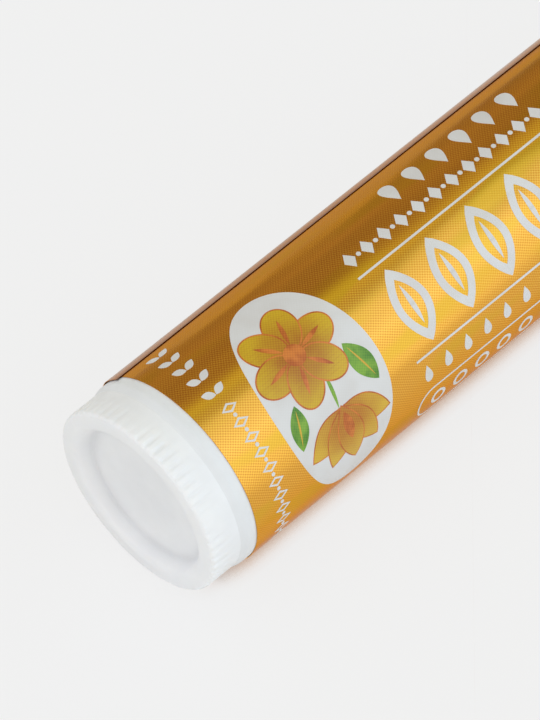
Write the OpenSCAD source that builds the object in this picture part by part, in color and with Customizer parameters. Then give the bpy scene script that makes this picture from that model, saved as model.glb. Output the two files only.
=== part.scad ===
// Twist-up lip balm stick, lying along +X with its turning wheel at the -X end and its cap on.
// Six pieces: ribbed wheel with its moulded screw, barrel, wrap label, carriage, balm and pull-off cap.
// Each piece is drawn upright on its own axis, z up from the rim of the wheel, and laid down at the end.

/* [Overall] */
// Length of the closed stick
stick_len = 68; // [62:0.5:82]
// Diameter over the label, and of the cap
stick_d = 16; // [13:0.2:20]

/* [Turning wheel] */
// Height of the wheel that shows below the barrel
wheel_h = 2.72; // [2.2:0.02:5]
// How far the wheel stands inside the label's surface
wheel_inset = 0.25; // [0.1:0.05:0.6]
// Rounding of the wheel's bottom edge
wheel_edge_r = 0.25; // [0.1:0.05:1.4]
// Rounding of the wheel's top edge, at the parting line
wheel_lip_r = 0.15; // [0.05:0.05:0.3]
// Number of grip grooves round the wheel
groove_count = 60; // [20:1:72]
// Depth of a grip groove
groove_depth = 0.12; // [0.05:0.01:0.2]
// Width of a grip groove
groove_w = 0.28; // [0.15:0.01:0.4]
// Plain band left above the grooves
groove_stop = 0.25; // [0.1:0.05:0.6]
// How far in from the wheel's side the grooves reach on its bottom edge
groove_reach = 0.2; // [0.15:0.01:0.9]
// Width of the rim between the wheel's side and its recess
rim_w = 1.9; // [1.3:0.02:2.6]
// Depth of the recess under the wheel
recess_depth = 1.15; // [0.4:0.05:1.6]
// Fillet round the floor of the recess
recess_fillet = 0.5; // [0.1:0.05:0.6]
// Rounding of the recess's mouth
recess_lip_r = 0.35; // [0.05:0.05:0.4]
// Thickness of the wheel's floor
wheel_floor = 1.2; // [0.8:0.1:1.6]

/* [Wheel collar] */
// Height of the collar that snaps into the barrel
collar_h = 2.9; // [2.4:0.1:5]
// Wall of the collar
collar_wall = 1.1; // [0.8:0.1:1.6]
// How far the snap bead stands out of the collar
bead_h = 0.25; // [0.1:0.05:0.4]
// Height of the snap bead's middle above the wheel
bead_z = 1.5; // [1.2:0.1:2]
// Half of the snap bead's height
bead_half = 0.5; // [0.3:0.05:0.7]

/* [Screw] */
// Outside diameter of the screw thread
screw_d = 4.6; // [3.8:0.1:5.6]
// Diameter of the screw's core
screw_core_d = 2.9; // [2.2:0.1:3.5]
// Distance that the carriage climbs in one turn
lead = 5; // [3:0.5:8]
// Diameter of the screw's foot, where it leaves the wheel
foot_d = 6; // [5.8:0.2:7.2]
// Height of the screw's foot
foot_h = 1.5; // [1:0.1:2.2]
// Length of thread still in the carriage when it is fully up
engage = 4.5; // [3:0.5:5.5]
// Height of the screw's tapered tip
tip_h = 0.8; // [0.4:0.1:1.2]

/* [Barrel] */
// Rounding of the barrel's lower edge
foot_r = 0.28; // [0.1:0.02:0.4]
// Step from the barrel's bore out to the socket that takes the collar
socket_step = 0.45; // [0.35:0.05:0.6]
// Height of the neck that the cap goes over
neck_h = 8.5; // [6:0.5:11]
// Wall of the neck
neck_wall = 0.8; // [0.6:0.05:1]
// Rounding of the neck's rim
neck_rim_r = 0.25; // [0.1:0.05:0.3]
// How far the grip rings stand out of the neck
grip_h = 0.05; // [0.03:0.01:0.1]
// Heights of the two grip rings above the shoulder
grip_z = [2.2, 5.2]; // [1:0.1:6]
// Width of a grip ring
grip_w = 0.7; // [0.4:0.1:1.2]
// Number of guide ribs inside the barrel
guide_count = 4; // [2:1:6]
// Width of a guide rib
guide_w = 0.7; // [0.5:0.05:1]
// How far a guide rib stands into the bore
guide_h = 0.45; // [0.3:0.05:0.5]
// Distance from the guide ribs' upper ends to the neck's rim
guide_drop = 3; // [2:0.5:6]

/* [Wrap label] */
// Thickness of the label film
label_t = 0.06; // [0.04:0.01:0.1]
// Height of the label's lower edge above the wheel's rim
label_low = 4.16; // [3.6:0.02:6]
// Bare band between the label and the shoulder
label_stop = 0.4; // [0.2:0.1:1]
// Width of the strip where the label overlaps itself
overlap_w = 2.4; // [1:0.1:4]
// Place of the label's outer end, in degrees round the stick from the top towards +Y
seam_angle = 45.5; // [0:0.5:90]

/* [Carriage] */
// Height of the carriage
cup_h = 7; // [5:0.5:9]
// Floor of the carriage's cup
cup_floor = 1; // [0.8:0.1:1.6]
// Wall of the carriage's cup
cup_wall = 0.9; // [0.8:0.05:1.2]
// Wall of the nut round the screw
nut_wall = 0.95; // [0.7:0.05:1.1]
// Thickness of the fins that key the balm in the cup
fin_t = 0.7; // [0.5:0.1:1]
// Height of the fins above the cup's floor
fin_h = 3.2; // [1:0.1:4]
// Distance from the cup's lip to the neck's rim when the carriage is fully up
cup_stop = 2; // [1:0.5:4]

/* [Balm] */
// Height of the balm's top above the neck's rim
balm_above = 2.5; // [1:0.1:4]
// Rounding of the balm's top edge
balm_edge_r = 1.6; // [0.6:0.1:2.4]

/* [Cap] */
// Length of the cap
cap_len = 18.85; // [16:0.05:24]
// Wall of the cap at its mouth
cap_wall = 0.84; // [0.7:0.02:1.2]
// Thickness of the cap's end
cap_roof = 1.4; // [0.9:0.1:2]
// Rounding of the cap's closed end
cap_edge_r = 0.9; // [0.4:0.1:1.2]
// Rounding of the cap's mouth
cap_lip_r = 0.2; // [0.05:0.05:0.3]
// How much the cap's bore narrows from the neck's rim to its end
cap_draft = 0.25; // [0.05:0.05:0.5]
// Fillet inside the cap's closed end
cap_fillet = 0.6; // [0.2:0.1:1]

/* [Clearances] */
// Visible gap between the wheel and the barrel
part_gap = 0.08; // [0.04:0.02:0.3]
// Gap between the cap's mouth and the shoulder
cap_gap = 0.15; // [0.1:0.05:0.3]
// Radial clearance of the collar in its socket
run_fit = 0.06; // [0.03:0.01:0.1]
// Gap between the collar's end and the ledge above it
end_play = 0.18; // [0.1:0.02:0.4]
// Gap between the ledge and the carriage when it is fully down
rest_gap = 0.2; // [0.1:0.05:0.5]
// Radial clearance between the grip rings and the cap
cap_fit = 0.06; // [0.03:0.01:0.1]
// Radial clearance of the carriage and the balm in the barrel
slide_fit = 0.1; // [0.05:0.01:0.2]
// Clearance on each side of a guide rib
guide_fit = 0.12; // [0.08:0.01:0.2]
// Radial clearance of the thread
thread_fit = 0.15; // [0.12:0.01:0.2]
// Turning clearance of the thread, in degrees each side
thread_play = 9; // [8:0.5:12]
// Gap between the balm and the pieces that it was cast against
wax_fit = 0.02; // [0.01:0.01:0.05]
// Film of adhesive under the label
glue_t = 0.01; // [0.005:0.005:0.02]

/* [Hidden] */
$fn = 72;
over = 1;

// Radii, from the outside in
stick_r = stick_d / 2;
barrel_r = stick_r - label_t - glue_t;
wheel_r = stick_r - wheel_inset;
groove_r = wheel_r - groove_depth;
recess_r = wheel_r - rim_w;
cap_bore_r = stick_r - cap_wall;
neck_r = cap_bore_r - cap_fit - grip_h;
bore_r = neck_r - neck_wall;
socket_r = bore_r + socket_step;
collar_r = socket_r - run_fit;
cup_r = bore_r - slide_fit;
cup_in_r = cup_r - cup_wall;
screw_r = screw_d / 2;
core_r = screw_core_d / 2;
tip_r = core_r * 0.8;
nut_r = screw_r + thread_fit + nut_wall;

// Heights, from the wheel's rim up
floor_z = recess_depth + wheel_floor;
barrel_z = wheel_h + part_gap;
collar_z = wheel_h + collar_h;
ledge_z = collar_z + end_play;
cup_z = ledge_z + rest_gap;
shoulder_z = stick_len - cap_len - cap_gap;
neck_z = shoulder_z + neck_h;
guide_z = neck_z - guide_drop;
travel = neck_z - cup_stop - (cup_z + cup_h);
screw_z = cup_z + travel + engage;
balm_z = neck_z + balm_above;
cap_z = shoulder_z + cap_gap;
roof_z = stick_len - cap_roof;

// Thread form: two starts, each a crest, two flanks and a root, in degrees round the axis
starts = 2;
crest_half = 30;
flank = 30;
slices_per_turn = 16;
crest_steps = 3;
root_steps = 2;

// What is cut off to round a convex corner of a profile, the corner at the origin and the solid at -x, +y
module round_off(r) {
    difference() {
        translate([-r, -over]) square([r + over, r + over]);
        translate([-r, r]) circle(r);
    }
}

// What is left in a concave corner of a profile to fillet it, the corner at the origin and the hollow at +x, +y
module fillet_in(r) {
    difference() {
        translate([-over, -over]) square([r + over, r + over]);
        translate([r, r]) circle(r);
        translate([r, -2 * over]) square([2 * r, 2 * over]);
    }
}

// Lays an upright piece down: its own z runs along +X, on the plane z = 0, with the stick centred on x = 0
module lay_down() {
    translate([-stick_len / 2, 0, stick_r]) rotate([0, 90, 0]) children();
}

// Outline of the thread across the axis, for a crest and root of these radii and a crest widened by some degrees
function thread_points(crest, root, widen) = [
    for (s = [0 : starts - 1])
        for (step = [0 : crest_steps + root_steps + 1])
            let (
                on_crest = step <= crest_steps,
                half = crest_half + widen,
                root_from = half + flank,
                root_to = 360 / starts - root_from,
                a = on_crest
                    ? -half + 2 * half * step / crest_steps
                    : root_from + (root_to - root_from) * (step - crest_steps - 1) / root_steps,
                r = on_crest ? crest : root
            )
            [r * cos(a + s * 360 / starts), r * sin(a + s * 360 / starts)]
];

// Left-hand thread from one height to another, in step with every other thread drawn by this module
module thread(from_z, to_z, crest, root, widen) {
    height = to_z - from_z;
    translate([0, 0, from_z])
        rotate([0, 0, -360 * from_z / lead])
            linear_extrude(
                height = height,
                twist = 360 * height / lead,
                slices = ceil(slices_per_turn * height / lead),
                segments = starts * (crest_steps + root_steps + 2)
            )
                polygon(thread_points(crest, root, widen));
}

// The bars that the guide ribs are, or with a clearance, the slots that clear them
module guides(from_z, to_z, depth, width, slope) {
    for (i = [0 : guide_count - 1])
        rotate([0, 0, i * 360 / guide_count])
            rotate([90, 0, 0])
                linear_extrude(height = width, center = true)
                    polygon([
                        [bore_r - depth, from_z],
                        [bore_r + socket_step / 2, from_z],
                        [bore_r + socket_step / 2, to_z + slope],
                        [bore_r, to_z + slope],
                        [bore_r - depth, to_z]
                    ]);
}

// The fins between the nut and the wall of the cup, with a clearance for the balm's slots
module fins(clear) {
    for (i = [0 : guide_count - 1])
        rotate([0, 0, (i + 0.5) * 360 / guide_count])
            translate([nut_r - nut_wall / 2, -fin_t / 2 - clear, cup_z + cup_floor / 2])
                cube([
                    cup_in_r - nut_r + nut_wall / 2 + cup_wall / 2,
                    fin_t + 2 * clear,
                    cup_floor / 2 + fin_h + clear
                ]);
}

module barrel_profile() {
    difference() {
        union() {
            translate([bore_r, barrel_z]) square([barrel_r - bore_r, shoulder_z - barrel_z]);
            translate([bore_r, shoulder_z - over]) square([neck_r - bore_r, neck_h + over]);
            for (z = grip_z)
                translate([neck_r - over / 4, shoulder_z + z - grip_w / 2])
                    polygon([
                        [0, 0],
                        [over / 4, 0],
                        [over / 4 + grip_h, grip_w / 3],
                        [over / 4 + grip_h, 2 * grip_w / 3],
                        [over / 4, grip_w],
                        [0, grip_w]
                    ]);
        }
        translate([barrel_r, barrel_z]) round_off(foot_r);
        translate([neck_r, neck_z]) mirror([0, 1]) round_off(neck_rim_r);
        translate([bore_r, neck_z]) mirror([0, 1]) mirror([1, 0]) round_off(neck_rim_r);
        // Socket for the collar, with the groove that its bead snaps into
        translate([bore_r - over, barrel_z - over]) square([socket_r - bore_r + over, ledge_z - barrel_z + over]);
        translate([socket_r, wheel_h + bead_z])
            polygon([
                [-over / 4, -bead_half - run_fit],
                [0, -bead_half - run_fit],
                [bead_h, -bead_half / 3 - run_fit],
                [bead_h, bead_half / 3 + run_fit],
                [0, bead_half + run_fit],
                [-over / 4, bead_half + run_fit]
            ]);
    }
}

// White moulded tube: lower body, shoulder, neck for the cap, and guide ribs down its bore
module barrel() {
    color("whitesmoke") lay_down() {
        rotate_extrude() barrel_profile();
        guides(ledge_z, guide_z, guide_h, guide_w, guide_h);
    }
}

// Printed film, wrapped once round the barrel with its outer end lapped over the first
module wrap_label() {
    height = shoulder_z - label_stop - label_low;
    lap = overlap_w / stick_r * 180 / PI;
    color("goldenrod") lay_down() translate([0, 0, label_low]) {
        rotate_extrude() translate([stick_r - label_t, 0]) square([label_t, height]);
        rotate([0, 0, 180 - seam_angle - lap])
            rotate_extrude(angle = lap)
                translate([stick_r - label_t / 2, 0]) square([label_t * 1.5, height]);
    }
}

module wheel_profile() {
    difference() {
        union() {
            square([wheel_r, wheel_h]);
            translate([collar_r - collar_wall, wheel_h - over]) square([collar_wall, collar_h + over]);
            translate([collar_r - over / 4, wheel_h + bead_z])
                polygon([
                    [0, -bead_half],
                    [over / 4, -bead_half],
                    [over / 4 + bead_h, -bead_half / 3],
                    [over / 4 + bead_h, bead_half / 3],
                    [over / 4, bead_half],
                    [0, bead_half]
                ]);
        }
        translate([wheel_r, 0]) round_off(wheel_edge_r);
        translate([wheel_r, wheel_h]) mirror([0, 1]) round_off(wheel_lip_r);
        translate([0, floor_z]) square([collar_r - collar_wall, collar_z - floor_z + over]);
        // Recess under the wheel, with a filleted floor and a rounded mouth
        difference() {
            translate([0, -over]) square([recess_r, recess_depth + over]);
            translate([recess_r, recess_depth]) mirror([1, 0]) mirror([0, 1]) fillet_in(recess_fillet);
        }
        translate([recess_r, 0]) mirror([1, 0]) round_off(recess_lip_r);
    }
}

// What one grip groove takes off the wheel's outline: it runs out over the rounded bottom edge
module groove_profile() {
    difference() {
        translate([wheel_r - groove_reach, -over])
            square([groove_reach + over, wheel_h - groove_stop + over]);
        translate([groove_r - wheel_edge_r, wheel_edge_r]) circle(wheel_edge_r);
        translate([0, wheel_edge_r]) square([groove_r, wheel_h]);
    }
}

// Half section of the space that the thread is kept to: its end is cut to a cone
module screw_reach() {
    polygon([
        [0, floor_z],
        [screw_r + over, floor_z],
        [screw_r + over, screw_z - tip_h * (1 + over / (screw_r - tip_r))],
        [tip_r, screw_z],
        [0, screw_z]
    ]);
}

// White moulded wheel with its grip grooves, snap collar and two-start screw in one piece
module turning_wheel() {
    groove_a = groove_w / wheel_r * 180 / PI;
    color("white") lay_down() {
        difference() {
            rotate_extrude() wheel_profile();
            for (i = [0 : groove_count - 1])
                rotate([0, 0, (i - 0.5) * 360 / groove_count])
                    rotate_extrude(angle = groove_a) groove_profile();
        }
        translate([0, 0, floor_z - wheel_floor / 2]) cylinder(h = foot_h + wheel_floor / 2, d = foot_d);
        intersection() {
            thread(floor_z + foot_h / 2, screw_z, screw_r, core_r, 0);
            rotate_extrude() screw_reach();
        }
    }
}

// Cup that carries the balm: nut on the screw, slots that ride on the guide ribs, fins that key the balm
module carriage() {
    color("ivory") lay_down() difference() {
        union() {
            difference() {
                translate([0, 0, cup_z]) cylinder(h = cup_h, r = cup_r);
                translate([0, 0, cup_z + cup_floor]) cylinder(h = cup_h, r = cup_in_r);
            }
            translate([0, 0, cup_z]) cylinder(h = cup_h, r = nut_r);
            fins(0);
        }
        guides(cup_z - over, cup_z + cup_h + over, guide_h + slide_fit, guide_w + 2 * guide_fit, 0);
        thread(cup_z - over, cup_z + cup_h + over, screw_r + thread_fit, core_r + thread_fit, thread_play);
    }
}

module balm_profile() {
    difference() {
        square([cup_r, balm_z]);
        translate([cup_r, balm_z]) mirror([0, 1]) round_off(balm_edge_r);
        // Clear of the cup's wall and floor
        translate([cup_in_r - wax_fit, 0]) square([cup_wall + over, cup_z + cup_h + wax_fit]);
        square([cup_r, cup_z + cup_floor + wax_fit]);
        // Clear of the nut, then of the screw above it
        square([nut_r + wax_fit, cup_z + cup_h + wax_fit]);
        square([screw_r + slide_fit, screw_z + slide_fit + rest_gap]);
    }
}

// Wax stick, cast in the cup and round the screw
module balm() {
    color("lightyellow") lay_down() difference() {
        rotate_extrude() balm_profile();
        guides(cup_z, guide_z + rest_gap, guide_h + slide_fit, guide_w + 2 * guide_fit, guide_h + slide_fit);
        fins(wax_fit);
    }
}

module cap_profile() {
    difference() {
        translate([0, cap_z]) square([stick_r, cap_len]);
        translate([stick_r, stick_len]) mirror([0, 1]) round_off(cap_edge_r);
        translate([stick_r, cap_z]) round_off(cap_lip_r);
        // Bore over the neck, then a draft up to the filleted end
        translate([0, cap_z - over]) square([cap_bore_r, neck_z - cap_z + cap_gap + over]);
        difference() {
            polygon([
                [0, neck_z],
                [cap_bore_r, neck_z],
                [cap_bore_r, neck_z + cap_gap],
                [cap_bore_r - cap_draft, roof_z],
                [0, roof_z]
            ]);
            translate([cap_bore_r - cap_draft, roof_z]) mirror([1, 0]) mirror([0, 1]) fillet_in(cap_fillet);
        }
        translate([cap_bore_r, cap_z]) mirror([1, 0]) round_off(cap_lip_r);
    }
}

// White moulded cap that pulls off the neck
module cap() {
    color("white") lay_down() rotate_extrude() cap_profile();
}

barrel();
wrap_label();
turning_wheel();
carriage();
balm();
cap();
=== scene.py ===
import math

import bmesh
import bpy
import numpy as np
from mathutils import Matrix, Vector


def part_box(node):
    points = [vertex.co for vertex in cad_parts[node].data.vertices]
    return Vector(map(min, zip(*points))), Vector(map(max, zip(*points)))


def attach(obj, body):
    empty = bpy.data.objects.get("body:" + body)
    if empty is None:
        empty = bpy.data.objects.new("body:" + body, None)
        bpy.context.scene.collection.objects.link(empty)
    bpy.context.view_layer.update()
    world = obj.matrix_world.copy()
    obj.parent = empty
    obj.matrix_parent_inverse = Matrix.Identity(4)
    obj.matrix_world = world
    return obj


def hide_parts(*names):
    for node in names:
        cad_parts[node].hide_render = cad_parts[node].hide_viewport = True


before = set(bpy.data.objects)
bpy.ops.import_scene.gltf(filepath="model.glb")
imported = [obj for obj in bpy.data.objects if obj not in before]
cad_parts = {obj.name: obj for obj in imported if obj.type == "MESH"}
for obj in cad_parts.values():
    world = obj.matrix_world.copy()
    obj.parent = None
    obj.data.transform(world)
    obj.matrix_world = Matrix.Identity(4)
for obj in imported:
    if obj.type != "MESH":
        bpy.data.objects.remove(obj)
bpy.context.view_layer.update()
scene = bpy.context.scene
scene.view_settings.view_transform = "Standard"

# Camera: a long lens nearly half a metre away looks down on the wheel end at 54.5 degrees, with the
# stick running away to the upper right, so that the cap end is outside the picture.
camera_data = bpy.data.cameras.new("camera")
camera_data.lens = 323
camera_data.sensor_width = 36
camera = bpy.data.objects.new("camera", camera_data)
camera.location = (-0.2075, -0.1898, 0.3861)
camera.rotation_euler = (math.radians(35.47), 0, math.radians(-44.54))
scene.collection.objects.link(camera)
scene.camera = camera


# Studio: a white room with a large soft lamp above and in front of the stick, and a dark card behind
# and above it. A metallised wrap shows little but its surroundings, and these give it its bands.
def paint(code):
    """A colour given as an sRGB hex code, in the linear values that the shaders use."""
    channels = [int(code[place:place + 2], 16) / 255 for place in (0, 2, 4)]
    linear = [c / 12.92 if c <= 0.04045 else ((c + 0.055) / 1.055) ** 2.4 for c in channels]
    return (*linear, 1)


def feed(tree, made, inputs):
    """Sets a node's inputs, by place or by name; each is a value, or a node or an output to link."""
    for key, value in inputs.items() if isinstance(inputs, dict) else enumerate(inputs):
        if isinstance(value, bpy.types.Node):
            value = value.outputs[0]
        if isinstance(value, bpy.types.NodeSocket):
            tree.links.new(value, made.inputs[key])
        else:
            made.inputs[key].default_value = value


def add_node(tree, kind, inputs=(), **settings):
    """Adds a node to a tree, with its settings and its inputs."""
    made = tree.nodes.new(kind)
    for key, value in settings.items():
        setattr(made, key, value)
    feed(tree, made, inputs)
    return made


def set_stops(ramp, stops, smooth="EASE"):
    """Writes a colour ramp's stops, each a place from 0 to 1 and a colour."""
    ramp.interpolation = smooth
    while len(ramp.elements) < len(stops):
        ramp.elements.new(1)
    for element, (place, colour) in zip(ramp.elements, stops):
        element.position = place
        element.color = colour


# Light by direction round the stick, in degrees from straight up towards +Y: angle, red, green, blue.
# The lamp is cool daylight; the card beyond it is brown.
room_light = [
    (-180, 0.92, 0.92, 0.92), (-100, 0.98, 1.00, 1.00), (-88, 1.04, 1.12, 1.10), (-70, 1.08, 1.20, 1.25),
    (-58, 1.16, 1.32, 1.50), (-48, 1.20, 1.42, 1.75), (-38, 1.14, 1.32, 1.60), (-28, 1.04, 1.18, 1.35),
    (-19, 0.92, 1.06, 1.10), (-12, 0.74, 0.88, 0.75), (-5, 0.56, 0.62, 0.40), (3, 0.50, 0.50, 0.28),
    (11, 0.66, 0.70, 0.28), (20, 0.58, 0.58, 0.22), (29, 0.33, 0.24, 0.13), (40, 0.28, 0.20, 0.12),
    (52, 0.32, 0.24, 0.15), (64, 0.42, 0.32, 0.20), (78, 0.40, 0.32, 0.22), (92, 0.46, 0.40, 0.32),
    (108, 0.60, 0.58, 0.55), (180, 0.92, 0.92, 0.92),
]
room_strength = 2
# The rest of the room is plain, a little warmer on the side of -Y and a little cooler on the side of +Y
room_warm = (0.532, 0.520, 0.508, 1)
room_cool = (0.492, 0.500, 0.515, 1)
world = bpy.data.worlds.new("studio")
scene.world = world
world.use_nodes = True
sky = world.node_tree
sky.nodes.clear()
outlook = add_node(sky, "ShaderNodeTexCoord").outputs["Generated"]
outlook_x, outlook_y, outlook_z = add_node(sky, "ShaderNodeSeparateXYZ", [outlook]).outputs
outlook_turn = add_node(sky, "ShaderNodeMath", [outlook_y, outlook_z], operation="ARCTAN2")
outlook_place = add_node(sky, "ShaderNodeMapRange", [outlook_turn, -math.pi, math.pi])
panels = add_node(sky, "ShaderNodeValToRGB", [outlook_place])
set_stops(
    panels.color_ramp,
    [((angle + 180) / 360, (*[part / room_strength for part in light], 1)) for angle, *light in room_light],
)
# The panels stand beyond the cap end; the wheel end faces plain room, which is dimmer straight ahead of it
beyond = add_node(sky, "ShaderNodeMapRange", [outlook_x, 0.02, 0.34], interpolation_type="SMOOTHSTEP")
across = add_node(sky, "ShaderNodeMapRange", [outlook_y, -0.8, 0.8])
plain = add_node(sky, "ShaderNodeMix", {0: across, 6: room_warm, 7: room_cool}, data_type="RGBA")
ahead = add_node(sky, "ShaderNodeMapRange", [outlook_x, -0.9, -0.1, 0.84, 1])
plain = add_node(sky, "ShaderNodeVectorMath", {0: plain.outputs[2], "Scale": ahead}, operation="SCALE")
room = add_node(sky, "ShaderNodeMix", {0: beyond, 6: plain, 7: panels}, data_type="RGBA")
room_glow = add_node(sky, "ShaderNodeBackground", [room.outputs[2], room_strength])
add_node(sky, "ShaderNodeOutputWorld", [room_glow])

# Floor: a seamless matt white sheet, wide enough for every view
floor_half = 4
floor_corners = [(x * floor_half, y * floor_half, 0) for x, y in ((-1, -1), (1, -1), (1, 1), (-1, 1))]
floor_mesh = bpy.data.meshes.new("white_sheet")
floor_mesh.from_pydata(floor_corners, [], [(0, 1, 2, 3)])
floor = bpy.data.objects.new("white_sheet", floor_mesh)
scene.collection.objects.link(floor)
sheet_finish = bpy.data.materials.new("matt_white_sheet")
sheet_finish.use_nodes = True
sheet = sheet_finish.node_tree
sheet.nodes.clear()
sheet_matt = add_node(sheet, "ShaderNodeBsdfDiffuse", [paint("EFEFEF")])
# Painted shadow: close under the stick an ambient occlusion mask darkens the sheet's colour, and a painted
# reflection of the gold film warms it where the film is above it. Places along the stick are in metres; the
# painted shades run from open sheet to the line where the stick touches it.
sheet_place = add_node(sheet, "ShaderNodeTexCoord").outputs["Object"]
sheet_along = add_node(sheet, "ShaderNodeSeparateXYZ", [sheet_place]).outputs["X"]
open_air = add_node(sheet, "ShaderNodeAmbientOcclusion", {"Distance": 0.0024}, samples=8).outputs["AO"]
covered = add_node(sheet, "ShaderNodeMapRange", [open_air, 1, 0.46])
past_rim = add_node(sheet, "ShaderNodeMapRange", [sheet_along, -0.0345, -0.0305])
covered = add_node(sheet, "ShaderNodeMath", [covered, past_rim], operation="MULTIPLY")
warm_painted_shadow = add_node(sheet, "ShaderNodeValToRGB", [covered])
set_stops(warm_painted_shadow.color_ramp, [
    (0.20, paint("EFEFEF")), (0.35, paint("EEEAE9")), (0.48, paint("ECE7E4")), (0.62, paint("E9DFD9")),
    (0.72, paint("E4D6CC")), (0.82, paint("DBC0AC")), (1.0, paint("B08C70")),
], "LINEAR")
plain_painted_shadow = add_node(sheet, "ShaderNodeValToRGB", [covered])
set_stops(plain_painted_shadow.color_ramp, [
    (0.20, paint("EFEFEF")), (0.48, paint("EDECEB")), (0.72, paint("E7E2DF")), (0.82, paint("E0D9D5")),
    (1.0, paint("B9B2AC")),
], "LINEAR")
film_from = add_node(sheet, "ShaderNodeMapRange", [sheet_along, -0.031, -0.028])
film_to = add_node(sheet, "ShaderNodeMapRange", [sheet_along, 0.016, 0.013])
under_film = add_node(sheet, "ShaderNodeMath", [film_from, film_to], operation="MULTIPLY")
sheet_painted_shadow = add_node(
    sheet, "ShaderNodeMix", {0: under_film, 6: plain_painted_shadow, 7: warm_painted_shadow}, data_type="RGBA"
)
# The camera sees mostly an even glow, and a mirror shows part of it, so that the sheet has no edge in view
sheet_strength = 1.03
sheet_glow = add_node(sheet, "ShaderNodeEmission", [sheet_painted_shadow.outputs[2], sheet_strength])
camera_share = 0.90
mirror_share = 0.3
ray = add_node(sheet, "ShaderNodeLightPath").outputs
mirrored = add_node(
    sheet, "ShaderNodeMath", [ray["Is Glossy Ray"], ray["Is Transmission Ray"]], operation="MAXIMUM"
)
mirrored = add_node(sheet, "ShaderNodeMath", [mirrored, mirror_share], operation="MULTIPLY")
glow_share = add_node(
    sheet, "ShaderNodeMath", [ray["Is Camera Ray"], camera_share, mirrored], operation="MULTIPLY_ADD"
)
sheet_mix = add_node(sheet, "ShaderNodeMixShader", [glow_share, sheet_matt, sheet_glow])
add_node(sheet, "ShaderNodeOutputMaterial", [sheet_mix])
floor_mesh.materials.append(sheet_finish)


# Barrel: a white polypropylene tube, injection moulded. A narrow band of it shows between the wheel
# and the label; the neck with two grip rings is under the cap, and four guide ribs run down the bore.
rim_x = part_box("turning_wheel")[0][0]
axis_z = 0.008
# Heights from the wheel's rim and radii, in millimetres
barrel_r = 7.93
barrel_low = 2.756
barrel_lead = 0.6
barrel_lead_r = 7.76
label_low = 4.16
shoulder = 49.0
neck_top = 57.5
neck_r = 7.05
ring_out = 0.05
bore_r = 6.25
ledge = 5.80
socket_r = 6.70
snap_out = 0.25
rib_top = 54.5
rib_width = 0.7
rib_depth = 0.45


def rounded_line(corners, steps=6):
    """A closed outline through corners (height, radius, rounding), with its corners turned to arcs."""
    points = []
    for index, (height, radius, rounding) in enumerate(corners):
        here = np.array([height, radius], float)
        if rounding == 0:
            points.append(here)
            continue
        before = np.array(corners[index - 1][:2], float) - here
        after = np.array(corners[(index + 1) % len(corners)][:2], float) - here
        before /= np.linalg.norm(before)
        after /= np.linalg.norm(after)
        half = math.acos(np.clip(before @ after, -1, 1)) / 2
        middle = before + after
        centre = here + middle / np.linalg.norm(middle) * rounding / math.sin(half)
        start = here + before * rounding / math.tan(half) - centre
        end = here + after * rounding / math.tan(half) - centre
        sweep = math.pi - 2 * half
        for step in range(steps + 1):
            share = step / steps
            near = start * math.sin((1 - share) * sweep)
            far = end * math.sin(share * sweep)
            points.append(centre + (near + far) / math.sin(sweep))
    return points


def held(points, hold=0.05, longest=2.0):
    """Adds points near both ends of each straight run, so that smooth shading stays in the corners."""
    result = []
    for index, here in enumerate(points):
        result.append(here)
        there = points[(index + 1) % len(points)]
        run = np.linalg.norm(there - here)
        if run < 4 * hold:
            continue
        pieces = max(1, math.ceil((run - 2 * hold) / longest))
        for piece in range(pieces + 1):
            share = (hold + (run - 2 * hold) * piece / pieces) / run
            result.append(here + (there - here) * share)
    return result


def make_piece(name, points, faces, sharp=35):
    """A mesh object: its doubles are merged, its faces turned outwards, its edges sharp past an angle."""
    mesh = bpy.data.meshes.new(name)
    mesh.from_pydata([tuple(p) for p in points], [], faces)
    shell = bmesh.new()
    shell.from_mesh(mesh)
    bmesh.ops.remove_doubles(shell, verts=shell.verts, dist=1e-7)
    bmesh.ops.recalc_face_normals(shell, faces=shell.faces)
    shell.to_mesh(mesh)
    shell.free()
    mesh.shade_smooth()
    mesh.set_sharp_from_angle(angle=math.radians(sharp))
    piece = bpy.data.objects.new(name, mesh)
    scene.collection.objects.link(piece)
    return piece


def round_the_axis(outline, around, radius_at=None):
    """A closed outline turned round the stick's axis. radius_at may change a point's radius."""
    points, faces, rows = [], [], []
    for height, radius in outline:
        first = len(points)
        count = 1 if radius < 1e-6 else around
        for step in range(count):
            turn = 2 * math.pi * step / around
            here = radius if radius_at is None else radius_at(height, radius, turn)
            points.append((
                rim_x + height / 1000,
                here / 1000 * math.sin(turn),
                axis_z + here / 1000 * math.cos(turn),
            ))
        rows.append((first, count))
    for index in range(len(rows)):
        (first, count), (second, other) = rows[index], rows[(index + 1) % len(rows)]
        if count == 1 and other == 1:
            continue
        for step in range(around):
            ahead = (step + 1) % around
            corners = [
                first + step % count, second + step % other, second + ahead % other, first + ahead % count
            ]
            faces.append(list(dict.fromkeys(corners)))
    return points, faces


def join_shells(*shells):
    """Several lots of points and faces as one."""
    points, faces = [], []
    for more_points, more_faces in shells:
        start = len(points)
        points += more_points
        faces += [[start + corner for corner in face] for face in more_faces]
    return points, faces


def put_on(piece, body, finish, slot, *nodes):
    """Gives a finished piece its material, its body and the nodes that it stands for; slot is not used."""
    if finish is not None:
        piece.data.materials.clear()
        piece.data.materials.append(finish)
    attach(piece, body)
    if nodes:
        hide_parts(*nodes)


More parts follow.
